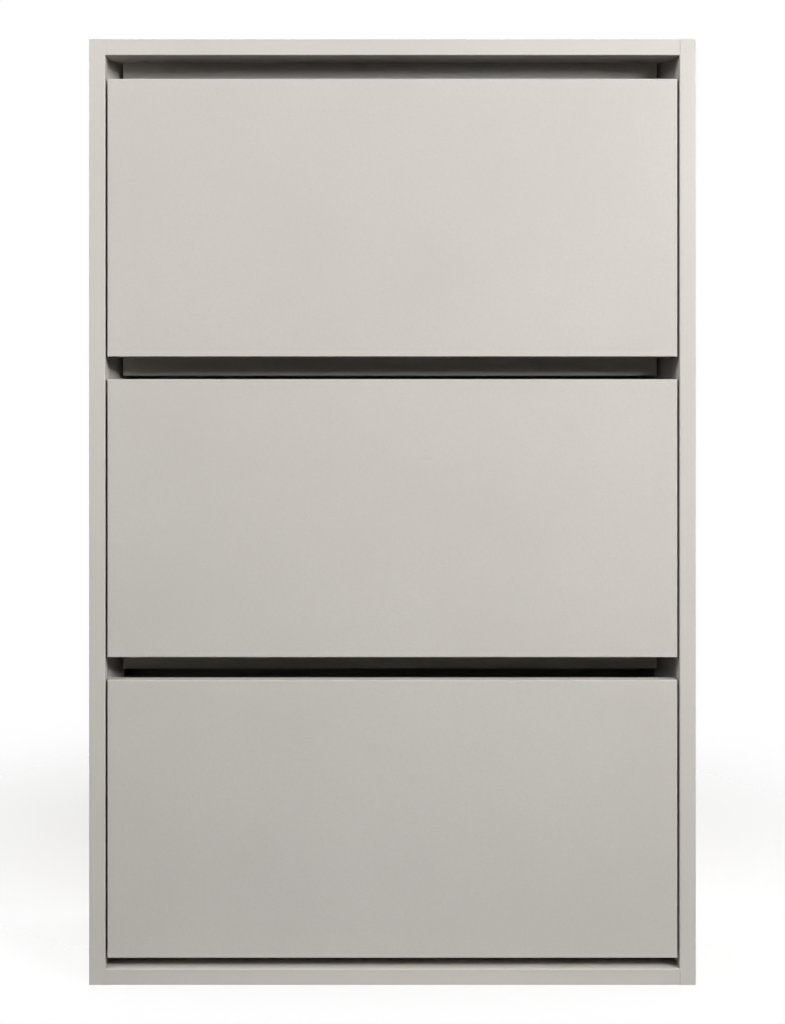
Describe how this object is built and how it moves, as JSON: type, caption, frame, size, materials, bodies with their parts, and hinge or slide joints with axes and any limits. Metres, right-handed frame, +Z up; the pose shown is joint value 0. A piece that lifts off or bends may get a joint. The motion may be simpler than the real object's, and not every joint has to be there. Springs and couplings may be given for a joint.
{
  "type": "shoe cabinet",
  "caption": "Narrow upright shoe cabinet: a laminated board carcass around handle-less tip-out flaps, each carrying a two-row bucket that turns on pins near its lower edge.",
  "frame": {"origin": "centre of the footprint, on the floor", "axes": "+Z up, +X to the right seen from the front, +Y from the front towards the wall"},
  "size_m": [0.6, 0.24, 0.935],
  "materials": {
    "laminated_board": "matt warm light grey melamine laminate on particle board",
    "edge_band": "matt plastic edge band in the board's colour",
    "hardboard": "painted hardboard, matt grey",
    "steel": "bright drawn steel",
    "zinc_plated_steel": "zinc plated",
    "bush_plastic": "moulded grey plastic",
    "block_plastic": "moulded plastic in the board's colour",
    "rubber": "soft black rubber",
    "beech": "raw turned beech"
  },
  "bodies": {
    "carcass": {"side_left": "laminated_board", "side_right": "laminated_board", "top_panel": "laminated_board", "bottom_panel": "laminated_board", "back_panel": "hardboard", "rail_top": "laminated_board", "rail_middle": "laminated_board", "rail_bottom": "laminated_board", "rail_base": "laminated_board", "rail_corner_blocks": "block_plastic", "carcass_edge_bands": "edge_band", "cam_housings": "zinc_plated_steel", "cam_bolts": "steel", "dowels": "beech", "rail_screws": "steel", "pivot_bushes": "bush_plastic", "opening_buffers": "rubber", "closing_buffers": "rubber", "wall_brackets": "steel", "wall_bracket_screws": "zinc_plated_steel"},
    "top_flap": {"top_front": "laminated_board", "top_front_edge_bands": "edge_band", "top_cheek_left": "laminated_board", "top_cheek_right": "laminated_board", "top_floor": "laminated_board", "top_back_board": "hardboard", "top_divider": "hardboard", "top_pivot_pins": "steel", "top_angle_brackets": "steel", "top_bracket_screws": "zinc_plated_steel", "top_board_screws": "zinc_plated_steel", "top_floor_dowels": "beech"},
    "middle_flap": {"middle_front": "laminated_board", "middle_front_edge_bands": "edge_band", "middle_cheek_left": "laminated_board", "middle_cheek_right": "laminated_board", "middle_floor": "laminated_board", "middle_back_board": "hardboard", "middle_divider": "hardboard", "middle_pivot_pins": "steel", "middle_angle_brackets": "steel", "middle_bracket_screws": "zinc_plated_steel", "middle_board_screws": "zinc_plated_steel", "middle_floor_dowels": "beech"},
    "bottom_flap": {"bottom_front": "laminated_board", "bottom_front_edge_bands": "edge_band", "bottom_cheek_left": "laminated_board", "bottom_cheek_right": "laminated_board", "bottom_floor": "laminated_board", "bottom_back_board": "hardboard", "bottom_divider": "hardboard", "bottom_pivot_pins": "steel", "bottom_angle_brackets": "steel", "bottom_bracket_screws": "zinc_plated_steel", "bottom_board_screws": "zinc_plated_steel", "bottom_floor_dowels": "beech"}
  },
  "joints": [
    {"name": "top_flap_hinge", "type": "hinge", "parent": "carcass", "child": "top_flap", "pos_m": [0, -0.096, 0.647], "axis": [1, 0, 0], "range_deg": [0, 36]},
    {"name": "middle_flap_hinge", "type": "hinge", "parent": "carcass", "child": "middle_flap", "pos_m": [0, -0.096, 0.3495], "axis": [1, 0, 0], "range_deg": [0, 36]},
    {"name": "bottom_flap_hinge", "type": "hinge", "parent": "carcass", "child": "bottom_flap", "pos_m": [0, -0.096, 0.052], "axis": [1, 0, 0], "range_deg": [0, 36]}
  ]
}
